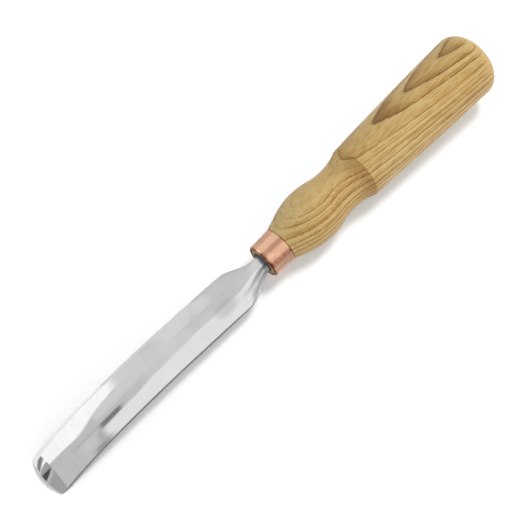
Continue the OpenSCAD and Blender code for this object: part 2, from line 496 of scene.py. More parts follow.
@dataclass(frozen=True)
class DrawnCopper:
    """Copper tube, drawn and cut, then scuffed by hand.

    Drawing leaves faint streaks along the axis, and handling dulls the bright metal to a
    satin pink. Painted bands along the tube stand in for its dark reflections, for shade on its
    underside and, paler, for highlights. The front lip is darkened as painted shade, most on the
    right, over some tarnish, and the rear cut edge has tarnished.
    """

    # bright metal, satin, tarnish and oxide, by how dull the copper is
    tones: tuple[tuple[float, str], ...] = (
        (0.0, "#FBCBAA"), (0.35, "#E0AE90"), (0.7, "#BE8265"), (1.0, "#5A2E20"),
    )
    roughness: float = 0.2
    # drawing streaks of about 0.2 mm are drawn coarser, so that they show in the render
    streak: Pair = (45.0, 1.1)
    scuff: float = 3.5
    # what wear does: dullness, roughness to add, depth
    wear_dull: Ramp = (0.2, 0.36, 0.38, 0.12)
    wear_gloss: Ramp = (0.15, 0.4, 0.08, -0.06)
    wear_depth: float = 0.03
    # painted bands along the tube: darker ones are painted dark reflections, the two round the
    # underside painted shade there, and, with a negative force, paler ones painted highlights:
    # angle from the top to the left and reach, both in radians, and force, which is full over the
    # core's share of the reach
    painted_bands: tuple[Triple, ...] = (
        (-0.17, 0.16, 0.16), (-0.9, 0.22, 0.4), (-2.1, 0.6, 0.5), (2.3, 0.5, 0.4),
        (0.22, 0.26, -0.5), (-0.5, 0.2, -0.16),
    )
    painted_band_core: float = 0.2
    # the front lip is darkened brown as painted shade over some tarnish, most on the right, and
    # so is the front cut edge, while the rear cut edge has tarnished: start, end and force
    shaded_lip: Pair = (0.15, 1.9)
    shaded_lip_force: Ramp = (-5.0, -8.5, 0.34, 0.7)
    edges: tuple[Triple, ...] = ((0.1, 0.6, 0.5), (12.3, 11.6, 0.42))

    def material(self, lay: Matrix) -> bpy.types.Material:
        """Build the finish.

        Args:
            lay: Matrix that lays the tool down.

        Returns:
            The material.
        """
        made, add = new_material("drawn_copper")
        place = tool_place(add, lay)
        where = add("SeparateXYZ", place).outputs
        scuffs = add("TexNoise", Vector=place, Scale=1 / self.scuff, Detail=5.0, Roughness=0.6)
        drawn = streaks(add, place, self.streak, detail=3.0)
        wear = add("Math", drawn, scuffs, operation="MULTIPLY")
        dull = add("MapRange", wear, *self.wear_dull)
        turned = add("Math", where["Y"], where["Z"], operation="ARCTAN2")
        # painted bands: dark reflections, shade on the underside and, with a negative force,
        # highlights
        for angle, reach, force in self.painted_bands:
            off = add("Math", turned, angle, operation="SUBTRACT")
            off = add("Math", off, operation="ABSOLUTE")
            painted_band = add("MapRange", off, self.painted_band_core * reach, reach, force, 0.0, **EASED)
            dull = add("Math", dull, painted_band, operation="ADD")
        # painted shade on the front lip, most on the right, over some tarnish
        shaded_lip = add("MapRange", where["Y"], *self.shaded_lip_force)
        for start, end, force in ((*self.shaded_lip, shaded_lip), *self.edges):
            rim = add("MapRange", where["X"], start, end, force, 0.0, **EASED)
            dull = add("Math", dull, rim, operation="ADD", use_clamp=True)
        tone = add("ValToRGB", dull)
        set_stops(tone.color_ramp, self.tones)
        low, high, worn, kept = self.wear_gloss
        gloss = add("MapRange", wear, low, high, self.roughness + worn, self.roughness + kept)
        bump = add("Bump", Strength=0.6, Distance=self.wear_depth * MM, Height=wear)
        shader = add("BsdfPrincipled", Base_Color=tone, Metallic=1.0, Roughness=gloss, Normal=bump)
        add("OutputMaterial", shader)
        return made


@dataclass(frozen=True)
class OiledAsh:
    """Ash, turned, sanded and oiled.

    A ring-porous wood: every year starts sharply with a brown band of open pores, which
    fades to dense straw-coloured wood. The log's rings cross the handle at a small tilt, so
    they run as stripes on its sides and close in pointed arches where they touch its skin.
    """

    # from dense late wood to the darkest pores
    tones: tuple[tuple[float, str], ...] = (
        (0.0, "#CFB67F"), (0.18, "#C0A164"), (0.42, "#AC8546"), (0.72, "#8E622F"),
        (1.0, "#694220"),
    )
    roughness: float = 0.52
    # roughness that the palest and the darkest grain add
    gloss: Pair = (-0.05, 0.16)
    ior: float = 1.47
    # starts of the yearly rings, in millimetres along the ring direction, and their darkness
    rings: tuple[Pair, ...] = (
        (-19.0, 0.95), (-16.4, 0.85), (-13.7, 1.0), (-11.1, 0.85), (-8.5, 0.95), (-5.8, 0.8),
        (-3.0, 0.65), (0.0, 0.7), (2.6, 0.75), (4.85, 0.9), (7.77, 1.0), (11.25, 0.9),
        (13.45, 0.8), (15.7, 0.65), (18.0, 0.62), (21.85, 0.9), (24.25, 1.0), (26.65, 0.9),
        (28.7, 0.8),
    )
    # depth from which the rings are counted, and the depth they take up
    low: float = -20.0
    span: float = 50.0
    # how dark a year is from its start to its end: pores, fade, dense late wood
    season: tuple[Pair, ...] = (
        (0.0, 1.0), (0.05, 0.9), (0.11, 0.52), (0.2, 0.34), (0.35, 0.24), (0.55, 0.08),
        (0.85, 0.02), (1.0, 0.12),
    )
    # the ring direction leans this much per millimetre towards the butt and bends a little, is
    # turned this many degrees from the top to the left, and the rings are slightly cupped
    tilt: float = 0.0882
    bend: float = -0.000122
    turn: float = 21.5
    cup: float = 0.0012
    # the rings rise to a low peak over the log's heart, so that their arches are pointed
    peak: float = 0.06
    peak_reach: float = 3.5
    # sways of the rings: length and width, and how far they go
    sways: tuple[tuple[Pair, float], ...] = (
        ((70.0, 12.0), 0.5), ((16.0, 2.0), 0.3), ((4.5, 0.7), 0.3),
    )
    # the bulb's wood is plainer, most of all where the rings touch its skin
    plain: Ramp = (0.72, 0.95, 0.9, 0.2)
    plain_ends: Pair = (49.0, 63.0)
    # the rings are faint on the butt's round
    butt: Ramp = (139.0, 147.0, 1.0, 0.3)
    # a year that starts where its rings touch the skin is cut lengthwise, a smudge inside its
    # arch: depth of the year that holds the plainest one, force beside it, share of the year
    smudge_at: float = 23.05
    smudge: Ramp = (1.1, 1.5, 0.26, 0.05)
    smudge_year: Pair = (0.2, 1.0)
    touching: Ramp = (0.93, 0.995, 0.0, 1.0)
    # thin layers within a year run beside its rings: depth, length, width, force
    layer: float = 0.6
    layer_length: float = 60.0
    layer_width: float = 9.0
    layer_force: Pair = (-0.19, 0.26)
    layer_flat: Ramp = (0.75, 0.97, 1.0, 0.4)
    fibre: Pair = (9.0, 0.34)
    fibre_force: Pair = (-0.29, 0.27)
    # open pores are about 0.15 mm wide and are drawn coarser, so that they show in the render
    pore: Pair = (4.0, 0.42)
    pore_shows: Pair = (0.55, 0.68)
    pore_least: float = 0.2
    pore_depth: float = 0.06
    pore_colour: str = "#7C5A34"
    # pores that lie open lengthwise look greyer
    lying: Ramp = (0.86, 0.99, 0.0, 0.55)
    lying_colour: str = "#91744A"
    # broad warmer patches
    warm_size: float = 38.0
    warm: Ramp = (0.35, 0.65, 0.0, 0.35)
    warm_colour: str = "#EDD3A6"
    # painted shade on the slope up to the crease, which faces away from the key, most on the right
    crease_slope_shade: Ramp = (52.3, 63.3, 0.0, 0.45)
    crease_slope_shade_side: Ramp = (8.0, -3.0, 0.0, 1.0)
    crease_slope_shade_colour: str = "#B48F58"

    def ring_depth(self, add: Adder, place: bpy.types.Node) -> bpy.types.Node:
        """Measure how deep a point lies in the log's rings.

        Args:
            add: Function that adds a node to the material.
            place: Point in millimetres in the tool's frame.

        Returns:
            Node that gives the depth along the ring direction in millimetres.
        """
        turn = math.radians(self.turn)
        inward = (self.tilt, math.sin(turn), math.cos(turn))
        depth = add("VectorMath", place, inward, operation="DOT_PRODUCT")
        sideways = (0.0, math.cos(turn), -math.sin(turn))
        across = add("VectorMath", place, sideways, operation="DOT_PRODUCT")
        along = add("SeparateXYZ", place).outputs["X"]
        peak = add("Math", across, operation="ABSOLUTE")
        peak = add("Math", self.peak_reach, peak, operation="SUBTRACT")
        peak = add("Math", peak, 0.0, operation="MAXIMUM")
        parts = [
            (add("Math", across, across, operation="MULTIPLY"), self.cup),
            (add("Math", along, along, operation="MULTIPLY"), self.bend),
            (peak, self.peak),
        ]
        for size, reach in self.sways:
            sway = streaks(add, place, size, detail=2.0)
            parts.append((add("Math", sway, NOISE_MIDDLE, operation="SUBTRACT"), reach))
        for part, force in parts:
            depth = add("Math", part, force, depth, operation="MULTIPLY_ADD")
        return depth

    def year_phase(
        self, add: Adder, depth: bpy.types.Node
    ) -> tuple[bpy.types.Node, bpy.types.Node]:
        """Find where in its year a point has grown, and how dark that year starts.

        Args:
            add: Function that adds a node to the material.
            depth: Depth along the ring direction in millimetres.

        Returns:
            Nodes that give the share of the year and the year's force.
        """
        share = add("MapRange", depth, self.low, self.low + self.span, 0.0, 1.0)
        count = len(self.rings)
        starts = [(d - self.low) / self.span for d, _ in self.rings]
        years = add("FloatCurve", Value=share)
        set_curve(years, [(s, k / count) for k, s in enumerate(starts)])
        force = add("FloatCurve", Value=share)
        set_curve(force, [(s, dark) for s, (_, dark) in zip(starts, self.rings)])
        year = add("Math", years, float(count), operation="MULTIPLY")
        return add("Math", year, operation="FRACT"), force

    def layers(
        self, add: Adder, place: bpy.types.Node, depth: bpy.types.Node
    ) -> bpy.types.Node:
        """Draw the thin layers within a year.

        Args:
            add: Function that adds a node to the material.
            place: Point in millimetres in the tool's frame.
            depth: Depth along the ring direction in millimetres.

        Returns:
            Node that gives the darkness to add.
        """
        size = (1 / self.layer_length, 1 / self.layer_width, 0.0)
        drawn = add("VectorMath", place, size, operation="MULTIPLY")
        drawn = add("SeparateXYZ", drawn).outputs
        layer = add("Math", depth, 1 / self.layer, operation="MULTIPLY")
        drawn = add("CombineXYZ", drawn["X"], drawn["Y"], layer)
        found = add("TexNoise", Vector=drawn, Scale=1.0, Detail=2.0)
        return add("MapRange", found, *NOISE, *self.layer_force)

    def material(self, lay: Matrix) -> bpy.types.Material:
        """Build the finish.

        Args:
            lay: Matrix that lays the tool down.

        Returns:
            The material.
        """
        made, add = new_material("turned_oiled_ash")
        place = tool_place(add, lay)
        where = add("SeparateXYZ", place).outputs
        # how squarely the skin faces along the ring direction
        turn = math.radians(self.turn)
        outward = lay.to_3x3() @ Vector((0.0, math.sin(turn), math.cos(turn)))
        normal = add("NewGeometry").outputs["Normal"]
        flat = add("VectorMath", normal, tuple(outward), operation="DOT_PRODUCT")
        # the rings, with the smudges where they touch the skin
        depth = self.ring_depth(add, place)
        phase, force = self.year_phase(add, depth)
        season = add("FloatCurve", Value=phase)
        set_curve(season, self.season)
        dark = add("Math", season, force, operation="MULTIPLY")
        smudge = add("Math", depth, self.smudge_at, operation="SUBTRACT")
        smudge = add("Math", smudge, operation="ABSOLUTE")
        smudge = add("MapRange", smudge, *self.smudge, **EASED)
        smudge = add("MapRange", phase, *self.smudge_year, smudge, 0.0, **EASED)
        touching = add("MapRange", flat, *self.touching, **EASED)
        dark = add("Math", smudge, touching, dark, operation="MULTIPLY_ADD")
        plain = add("MapRange", flat, *self.plain, **EASED)
        calm = add("MapRange", where["X"], *self.plain_ends, plain, 1.0, **EASED)
        faint = add("MapRange", where["X"], *self.butt, **EASED)
        calm = add("Math", calm, faint, operation="MULTIPLY")
        dark = add("Math", dark, calm, operation="MULTIPLY")
        # the finer grain between them
        shallow = add("MapRange", flat, *self.layer_flat, **EASED)
        shallow = add("Math", shallow, calm, operation="MULTIPLY")
        grain = self.layers(add, place, depth)
        grain = add("Math", grain, shallow, operation="MULTIPLY")
        fibres = streaks(add, place, self.fibre, detail=3.0)
        fibres = add("MapRange", fibres, *NOISE, *self.fibre_force)
        grain = add("Math", grain, fibres, operation="ADD")
        grain = add("Math", grain, dark, operation="ADD", use_clamp=True)
        # what lies over the grain's colour
        broad = add("TexNoise", Vector=place, Scale=1 / self.warm_size, Detail=2.0)
        lying = add("MapRange", flat, *self.lying, **EASED)
        # painted shade on the slope up to the crease, which ends at the crease
        before = add("Math", where["X"], self.crease_slope_shade[1], operation="LESS_THAN")
        crease_slope_shade = add("MapRange", where["X"], *self.crease_slope_shade, **EASED)
        crease_slope_shade = add("Math", crease_slope_shade, before, operation="MULTIPLY")
        shade_side = add("MapRange", where["Y"], *self.crease_slope_shade_side, **EASED)
        pores = streaks(add, place, self.pore, detail=1.0)
        pores = add("MapRange", pores, *self.pore_shows, 0.0, 1.0)
        least = self.pore_least
        opened = add("Math", dark, 1 - least, least, operation="MULTIPLY_ADD")
        pores = add("Math", pores, opened, operation="MULTIPLY")
        tone = add("ValToRGB", grain)
        set_stops(tone.color_ramp, self.tones)
        for share, colour, blend in (
            (add("MapRange", broad, *self.warm), self.warm_colour, "MULTIPLY"),
            (add("Math", lying, dark, operation="MULTIPLY"), self.lying_colour, "MIX"),
            # painted shade before the crease
            (add("Math", crease_slope_shade, shade_side, operation="MULTIPLY"), self.crease_slope_shade_colour, "MULTIPLY"),
            (pores, self.pore_colour, "MIX"),
        ):
            tone = add("Mix", share, tone, linear(colour), data_type="RGBA", blend_type=blend)
        gloss = add("MapRange", grain, 0.0, 1.0, *(self.roughness + g for g in self.gloss))
        bump = add(
            "Bump", Strength=0.5, Distance=self.pore_depth * MM, Height=pores, invert=True
        )
        shader = add("BsdfPrincipled", Base_Color=tone, Roughness=gloss, Normal=bump, IOR=self.ior)
        add("OutputMaterial", shader)
        return made


@dataclass(frozen=True)
class DarkEpoxy:
    """Two-part epoxy glue with a dark filler, cured in the hole.

    It sets to a dark slate mass with a slightly uneven, satin skin, and is paler nearer the
    axis.
    """

    colour: str = "#2C3238"
    # colour of the glue nearer the axis
    dust: str = "#444A50"
    wiped: str = "#74787B"
    filler: float = 0.8
    filler_depth: float = 0.1
    roughness: float = 0.6
    specular: float = 0.3
    # distances from the axis between which the glue turns paler towards the axis
    paler_towards_axis: Ramp = (4.9, 3.3, 0.0, 1.0)

    def material(self, lay: Matrix) -> bpy.types.Material:
        """Build the finish.

        Args:
            lay: Matrix that lays the tool down.

        Returns:
            The material.
        """
        made, add = new_material("cured_dark_epoxy")
        place = tool_place(add, lay)
        filler = add("TexNoise", Vector=place, Scale=1 / self.filler, Detail=4.0)
        radius = add("VectorMath", place, (0.0, 1.0, 1.0), operation="MULTIPLY")
        radius = add("VectorMath", radius, operation="LENGTH")
        paler_towards_axis = add("MapRange", radius, *self.paler_towards_axis, **EASED)
        tone = add("Mix", filler, linear(self.colour), linear(self.dust), data_type="RGBA")
        tone = add("Mix", paler_towards_axis, tone, linear(self.wiped), data_type="RGBA")
        bump = add("Bump", Strength=0.5, Distance=self.filler_depth * MM, Height=filler)
        shader = add(
            "BsdfPrincipled", Base_Color=tone, Roughness=self.roughness,
            Specular_IOR_Level=self.specular, Normal=bump,
        )
        add("OutputMaterial", shader)
        return made


@dataclass(frozen=True)
class WhitePaper:
    """Matt white background paper with a fine tooth.

    It takes the tool's shadow and is white elsewhere. It is a little cooler beside the handle,
    whose wood throws warm light on it.
    """

    colour: str = "#FDFDFD"
    cool: str = "#F9FCFF"
    tooth_colour: str = "#FAFAFA"
    # marks of the tooth for each millimetre
    tooth: float = 0.9
    # the cooler part begins beside the ferrule
    beside: Ramp = (-4.0, 22.0, 0.0, 1.0)
    # light that the camera and mirrors add, and its colour beside the handle
    lift: float = 0.195
    lift_cool: str = "#E2F4FF"
    # far from the tool, where the lamps no longer reach, the camera sees the paper run out to white
    run_out: Ramp = (300.0, 750.0, 0.0, 1.0)

    def material(self, lay: Matrix) -> bpy.types.Material:
        """Build the finish.

        Args:
            lay: Matrix that lays the tool down.

        Returns:
            The material.
        """
        made, add = new_material("white_paper_floor")
        place = tool_place(add, lay)
        where = add("SeparateXYZ", place).outputs
        beside = add("MapRange", where["X"], *self.beside, **EASED)
        tone = add("Mix", beside, linear(self.colour), linear(self.cool), data_type="RGBA")
        tooth = add("TexNoise", Vector=place, Scale=self.tooth)
        tone = add("Mix", tooth, tone, linear(self.tooth_colour), data_type="RGBA")
        paper = add("BsdfDiffuse", tone)
        path = add("LightPath").outputs
        seen = path["Is Camera Ray"]
        for ray in ("Is Glossy Ray", "Is Transmission Ray"):
            seen = add("Math", seen, path[ray], operation="MAXIMUM")
        lift = add("Math", seen, self.lift, operation="MULTIPLY")
        away = add("VectorMath", place, operation="LENGTH")
        far = add("MapRange", away, *self.run_out, **EASED)
        lift = add("Math", far, path["Is Camera Ray"], lift, operation="MULTIPLY_ADD")
        veil = add("Mix", beside, linear(WHITE), linear(self.lift_cool), data_type="RGBA")
        lit = add("AddShader", paper, add("Emission", Color=veil, Strength=lift))
        # the sheet is clear from below, so that the tool's underside can be looked at
        below = add("NewGeometry").outputs["Backfacing"]
        add("OutputMaterial", add("MixShader", below, lit, add("BsdfTransparent")))
        return made


@dataclass(frozen=True)
class HammerMarks:
    """Heights that forging and grinding have left on the blade's back.

    The ground part has two shallow ripples. The shoulder's right side keeps curled ridges
    from the hammer, and its left one shallow dent.
    """

    # ripples: height, length along the blade, start of the long one, width across
    long_ripple: tuple[float, float, float, float] = (0.02, 3.7, 0.6, 6.0)
    short_ripple: Triple = (0.014, 2.3, 5.0)
    # how far from the ferrule they begin and before the edge they end, and over which lengths
    ripple_start: Pair = (16.0, 14.0)
    ripple_end: Pair = (8.0, 10.0)
    # curled and plain ridges: height, turns across the half, length along the blade
    curl: Triple = (0.05, 13.0, 3.2)
    curl_sway: float = 1.2
    curl_start: float = 1.2
    curl_drift: float = 0.3
    ridge: Triple = (0.03, 7.0, 2.6)
    # where the ridges end across, as shares of the half, and along, and over which lengths
    ridge_inner: Pair = (0.34, 0.16)
    ridge_outer: Pair = (1.02, 0.15)
    ridge_start: Pair = (1.0, 3.0)
    ridge_end: Pair = (20.0, 6.0)
    # dent: depth, place and reach along the blade, place and reach as shares of the half
    dent: tuple[float, float, float, float, float] = (0.09, 13.0, 5.0, 0.62, 0.2)
    dent_start: float = 5.0

    def height(
        self, t: np.ndarray, side: np.ndarray, half: np.ndarray, length: float
    ) -> np.ndarray:
        """Find how far a point is off the back's true form.

        Args:
            t: Distance from the ferrule's front.
            side: Distance to the tool's left.
            half: Half of the blade's width there.
            length: Length of the blade.

        Returns:
            Height to add, in millimetres.
        """
        high, long, start, wide = self.long_ripple
        wave = high * np.sin(t / long + start) * np.cos(side / wide)
        high, long, wide = self.short_ripple
        wave = wave + high * np.sin(t / long + side / wide)
        worked = smooth((t - self.ripple_start[0]) / self.ripple_start[1])
        worked = worked * smooth((length - self.ripple_end[0] - t) / self.ripple_end[1])
        part = side / half
        high, turns, long = self.curl
        sway = self.curl_sway * np.sin(t / long + self.curl_start)
        ridges = high * np.sin(turns * part + sway - self.curl_drift * t)
        high, turns, long = self.ridge
        ridges = ridges + high * np.sin(turns * part + t / long)
        for inside, (end, ease) in (
            (-part, self.ridge_inner),
            (part, (-self.ridge_outer[0], self.ridge_outer[1])),
            (t, self.ridge_start),
            (-t, (-self.ridge_end[0], self.ridge_end[1])),
        ):
            ridges = ridges * smooth((inside - end) / ease)
        deep, at, reach, across, wide = self.dent
        dent = -deep * np.exp(-(((t - at) / reach) ** 2) - ((part - across) / wide) ** 2)
        return wave * worked + ridges + dent * smooth(t / self.dent_start)


@dataclass(frozen=True)
class Blade:
    """Forged blade: cutting edge, bevel, channel, shoulders, neck and square tang."""

    length: float = 136.0
    width: float = 21.9
    edge_width: float = 20.8
    crown: float = 2.2
    rim_drop: float = 3.0
    flank_height: float = 2.1
    root_thickness: float = 3.1
    tip_thickness: float = 2.4
    land: float = 1.9
    land_taper: float = 0.75
    land_grind: float = 0.8
    bevel_length: float = 6.6
    bevel_lead: float = 2.4
    edge_thickness: float = 0.12
    arch_rise: float = 4.6
    arch_at: float = 80.0
    tip_drop: float = 6.9
    tip_power: float = 3.0
    neck_radius: float = 4.5
    neck_crown: float = 2.4
    flare_length: float = 19.0
    settle_length: float = 6.0
    runout_length: float = 34.0
    flank_angle: float = 5.0
    land_angle: float = 10.0
    tang_length: float = 63.0
    tang_side: float = 6.6
    tang_tip_side: float = 3.4
    tang_point: float = 4.0
    neck_inside: float = 5.0
    squaring: float = 7.0
    marks: HammerMarks = HammerMarks()
    # how finely the mesh is drawn: steps across, through the bevel and of the squaring tang,
    # then the neck's end and its step, and the steps along the shoulders and the rest
    across: int = 64
    bevel_steps: int = 12
    tang_steps: int = 6
    neck_step: Pair = (8.0, 0.2)
    shoulder_step: float = 0.5
    body_step: float = 0.9
    # gap before the bevel, least rise of an arc, angle in degrees above which an edge is sharp
    heel_gap: float = 0.4
    flattest: float = 0.01
    crease: float = 13.0
    # finishes in the order of Skin
    finishes: tuple[ForgedToolSteel, ...] = (
        ForgedToolSteel(),
        # the flanks are dark as forged, and that darkness is also painted shade of the floor they
        # mirror
        ForgedToolSteel("forge_dark_steel", "#6E6F70", "#5A5B5C", 0.34),
        ForgedToolSteel("ground_channel_steel", "#86878A", "#76777A", 0.3),
    )

    def spine(self, t: np.ndarray) -> np.ndarray:
        """Height of the centre line at t from the ferrule's front."""
        fall = np.clip((t - self.arch_at) / (self.length - self.arch_at), 0, None)
        return self.arch_rise * smooth(t / self.arch_at) - self.tip_drop * fall**self.tip_power

    def forged_half(self, t: np.ndarray) -> np.ndarray:
        """Half of the forged blade's width at t from the ferrule's front."""
        return mix(self.neck_radius, self.width / 2, smooth(t / self.flare_length))

    def arch(self, half: np.ndarray, level: np.ndarray, height: np.ndarray) -> np.ndarray:
        """Draw an arc over each chord.

        Args:
            half: Half of each chord.
            level: Level of each chord.
            height: Height of each arc's middle above its chord, negative for a hanging arc.

        Returns:
            Points as (side, level), one row for each arc.
        """
        part = np.linspace(-1, 1, self.across + 1)[None, :]
        half, level = half[:, None], level[:, None]
        rise = np.where(np.abs(height) < self.flattest, self.flattest, height)[:, None]
        radius = (half**2 + rise**2) / (2 * np.abs(rise))
        reach = np.arctan2(half, radius - np.abs(rise))
        up = np.sign(rise) * (radius * (np.cos(reach * part) - 1) + np.abs(rise))
        return np.stack([radius * np.sin(reach * part), level + up], -1)

    def section(self, t: np.ndarray | float, ground: float) -> np.ndarray:
        """Draw closed sections across the centre line.

        Args:
            t: Distances from the ferrule's front.
            ground: Way through the bevel, 0 on the forged blade and 1 on the edge.

        Returns:
            Points as (side, level): back, right foot, channel the other way, left foot.
        """
        t = np.atleast_1d(np.asarray(t, float))
        neck = self.neck_radius
        spread = smooth(t / self.runout_length)
        half = mix(self.forged_half(t), self.edge_width / 2, ground)
        rim = self.flank_height / 2 * spread * (1 - ground)
        rim = rim - self.rim_drop * smooth(t / (self.settle_length / 2))
        forged = mix(self.neck_crown, self.crown, smooth(t / self.settle_length))
        thick = mix(self.root_thickness, self.tip_thickness, t / self.length)
        channel = mix(-neck, forged - thick, spread)
        crown = mix(forged, channel + self.edge_thickness, ground)
        side, under = math.radians(self.flank_angle), math.radians(self.land_angle)
        flank = mix(neck * math.sin(side), self.flank_height, spread)
        foot = rim - mix(flank, self.edge_thickness, ground)
        foot_half = half - neck * (1 - math.cos(side)) * (1 - spread)
        land = self.land * (1 - self.land_taper * t / self.length)
        land = mix(neck * (1 - math.cos(under)), land, spread)
        inner = half - land * (1 - self.land_grind * ground)
        inner_level = foot - neck * (math.sin(under) - math.sin(side)) * (1 - spread)
        back = self.arch(half, rim, crown - rim)
        far = t[:, None]
        worked = self.marks.height(far, back[..., 0], self.forged_half(far), self.length)
        back[..., 1] += worked * (1 - ground)
        below = self.arch(inner, inner_level, channel - inner_level)
        right = np.stack([foot_half, foot], -1)[:, None]
        left = np.stack([-foot_half, foot], -1)[:, None]
        return np.concatenate([back, right, below[:, ::-1], left], 1)

    def stood(self, t: np.ndarray, points: np.ndarray, nudge: float = 0.01) -> np.ndarray:
        """Stand section points across the centre line.

        Args:
            t: Distance from the ferrule's front of each point.
            points: Section points as (side, level).
            nudge: Distance over which the centre line's slope is taken.

        Returns:
            Points in the tool's frame.
        """
        lean = np.arctan((self.spine(t + nudge) - self.spine(t - nudge)) / (2 * nudge))
        level = points[..., 1]
        ahead, high = -t + level * np.sin(lean), self.spine(t) + level * np.cos(lean)
        return np.stack([ahead, points[..., 0], high], -1)

    def tang_ring(self, depth: float) -> np.ndarray:
        """Draw a section of the tang, which turns from round to square.

        Args:
            depth: Distance behind the ferrule's front.

        Returns:
            Points in the tool's frame.
        """
        points = self.section(0.0, 0.0)[0]
        square_at = self.neck_inside + self.squaring
        taper = (depth - square_at) / (self.tang_length - self.tang_point - square_at)
        side = mix(self.tang_side, self.tang_tip_side, np.clip(taper, 0, 1)) / 2
        part = smooth((depth - self.neck_inside) / self.squaring)
        scale = mix(1.0, side / np.abs(points).max(-1), part)[:, None]
        return np.concatenate([np.full((len(points), 1), depth), points * scale], 1)

    def rings(self) -> list[np.ndarray]:
        """Draw every section from the tang's point to the edge.

        Returns:
            Rings of points in the tool's frame.
        """
        heel = self.length - self.bevel_length
        found = [self.tang_ring(self.tang_length - self.tang_point)]
        for k in range(self.tang_steps, -1, -1):
            found.append(self.tang_ring(self.neck_inside + self.squaring * k / self.tang_steps))
        neck_end, neck_step = self.neck_step
        stops = np.concatenate([
            np.arange(0, neck_end, neck_step),
            np.arange(neck_end, self.runout_length, self.shoulder_step),
            np.arange(self.runout_length, heel - self.heel_gap, self.body_step),
        ])
        for t, points in zip(stops, self.section(stops, 0.0)):
            found.append(self.stood(np.full(len(points), t), points))
        order = np.arange(2 * self.across + 4)
        folded = np.minimum(order, 2 * self.across + 2 - order)
        lateral = 2 * np.clip(folded / self.across, 0, 1) - 1
        for k in range(self.bevel_steps + 1):
            ground = k / self.bevel_steps
            t = mix(heel + self.bevel_lead * lateral**2, self.length, ground)
            found.append(self.stood(t, self.section(t, ground)[order, order]))
        return found

    def build(self, shop: Workshop) -> bpy.types.Object:
        """Skin the rings.

        Args:
            shop: Workshop that places the piece.

        Returns:
            The blade.
        """
        rings = self.rings()
        count = len(rings[0])
        last = count * (len(rings) - 1)
        tip = count * len(rings)
        faces = [[tip, (i + 1) % count, i] for i in range(count)]
        for low in range(0, last, count):
            for i in range(count):
                j = (i + 1) % count
                faces.append([low + i, low + j, low + count + j, low + count + i])
        for i in range(count // 2 - 1):
            faces.append([last + i, last + i + 1, last + count - 2 - i, last + count - 1 - i])
        points = np.concatenate([*rings, [[self.tang_length, 0, 0]]])
        return shop.piece("forged_blade", points, faces, self.crease)

    def dress(self, piece: bpy.types.Object, lay: Matrix) -> None:
        """Give the blade its steel, mapped in the tool's frame, and hide its CAD node.

        Args:
            piece: The blade.
            lay: Matrix that lays the tool down.
        """
        for finish in self.finishes:
            piece.data.materials.append(finish.material(lay))
        count = 2 * self.across + 4
        for face in piece.data.polygons:
            spots = [c % count for c in face.vertices]
            first, last = min(spots), max(spots)
            if len(spots) == 3:
                face.material_index = Skin.BACK
            elif self.across + 2 <= first and last < count - 1:
                face.material_index = Skin.CHANNEL
            elif first >= self.across or last - first == count - 1:
                face.material_index = Skin.FLANK
        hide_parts(Node.BLADE.value)


@dataclass(frozen=True)
class Ferrule:
    """Copper ring with a rounded front lip, driven over the wooden tenon."""

    length: float = 12.4
    front_radius: float = 8.9
    rear_radius: float = 9.25
    bore_radius: float = 7.7
    lip_radius: float = 1.1
    rear_break: float = 0.25
    # the tube isn't quite round: height, waves round it and start of each
    waves: tuple[Triple, ...] = ((0.012, 5.0, 0.4), (0.008, 11.0, 1.9))
    # dents: distance from the front, angle from the top, size, depth
    dents: tuple[tuple[float, float, float, float], ...] = (
        (5.6, 0.42, 0.55, 0.16), (11.8, -0.3, 0.5, 0.2), (2.2, 1.0, 0.9, 0.06),
    )
    # the bore, and what lies this near to it, keeps its form
    wall_kept: float = 0.3
    around: int = 192
    rows: int = 34
    lip_steps: int = 10
    crease: float = 28.0

    def build(self, shop: Workshop) -> bpy.types.Object:
        """Turn the ring and mark its skin with the knocks of use.

        Args:
            shop: Workshop that places the piece.

        Returns:
            The ferrule.
        """
        lip_at = (self.lip_radius, self.front_radius - self.lip_radius)
        start = np.array((self.lip_radius, self.front_radius))
        end = np.array((self.length - self.rear_break, self.rear_radius))
        outline = [
            (0.0, self.bore_radius),
            *arc(lip_at, self.lip_radius, 180, 90, self.lip_steps),
            *(tuple(mix(start, end, k / self.rows)) for k in range(1, self.rows + 1)),
            (self.length, self.rear_radius - self.rear_break),
            (self.length, self.bore_radius),
        ]
        return shop.turned("copper_ferrule", outline, self.around, self.crease, self.knock)

    def knock(self, s: float, radius: float, angle: float) -> float:
        """Find how far use has moved the skin.

        Args:
            s: Distance from the front.
            radius: Distance from the axis.
            angle: Angle from the top, to the tool's right.

        Returns:
            Height to add, in millimetres, negative in a dent.
        """
        if radius < self.bore_radius + self.wall_kept:
            return 0.0
        moved = sum(high * math.sin(turns * angle + start) for high, turns, start in self.waves)
        for at, turn, size, depth in self.dents:
            away = math.hypot(s - at, (angle - turn) * self.rear_radius)
            moved -= depth * math.exp(-((away / size) ** 2))
        return moved

    def dress(self, piece: bpy.types.Object, lay: Matrix) -> None:
        """Give the ferrule its copper, mapped in the tool's frame, and hide its CAD node.

        Args:
            piece: The ferrule.
            lay: Matrix that lays the tool down.
        """
        piece.data.materials.append(DrawnCopper().material(lay))
        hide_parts(Node.FERRULE.value)


